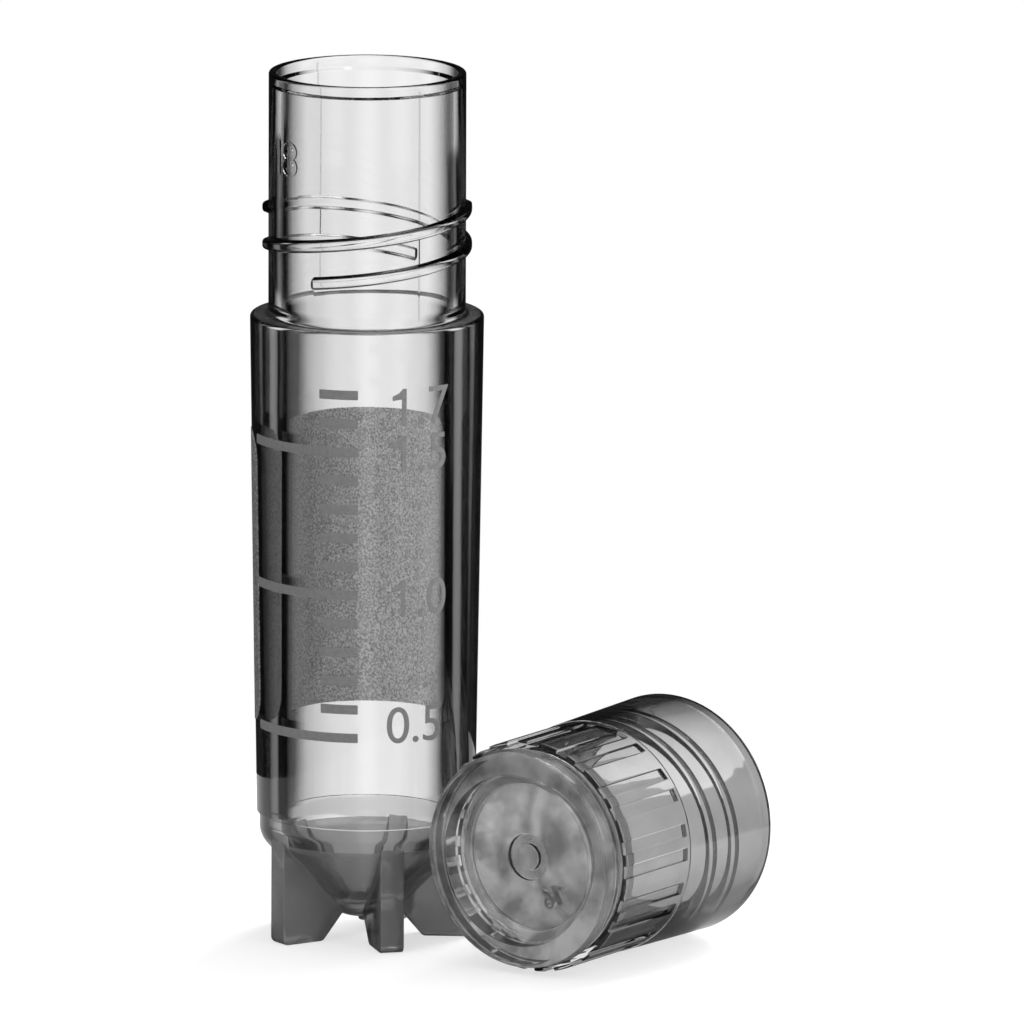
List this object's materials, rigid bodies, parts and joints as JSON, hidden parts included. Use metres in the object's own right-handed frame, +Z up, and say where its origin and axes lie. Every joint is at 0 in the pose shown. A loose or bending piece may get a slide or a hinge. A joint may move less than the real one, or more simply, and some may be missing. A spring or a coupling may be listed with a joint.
{
  "type": "cryovial",
  "caption": "Self-standing clear cryovial with a star foot, a threaded neck, a printed graduation and writing panel, and its ribbed screw cap lying beside it.",
  "frame": {"origin": "on the vial's axis, in the plane of its feet", "axes": "+Z up the vial's axis, out of its mouth; -Y is the side with the graduation"},
  "size_m": [0.0279, 0.0204, 0.0469],
  "materials": {
    "clear_plastic": "clear moulded polypropylene",
    "cap_plastic": "clear moulded polypropylene",
    "silicone": "translucent moulded silicone",
    "panel_ink": "matt printed ink",
    "mark_ink": "matt printed ink"
  },
  "bodies": {
    "vial": {"tube": "clear_plastic", "writing_panel": "panel_ink", "graduation_marks": "mark_ink"},
    "washer": {"seal_ring": "silicone"},
    "screw_cap": {"cap": "cap_plastic"}
  },
  "joints": [
    {"name": "cap_lift", "type": "slide", "parent": "vial", "child": "washer", "axis": [0, 0, 1], "range_m": [0, 0.06]},
    {"name": "cap_turn", "type": "hinge", "parent": "washer", "child": "screw_cap", "pos_m": [0.0121, -0.00522, 0.00635], "axis": [0.5764, 0.817, 0.0168], "continuous": true}
  ]
}
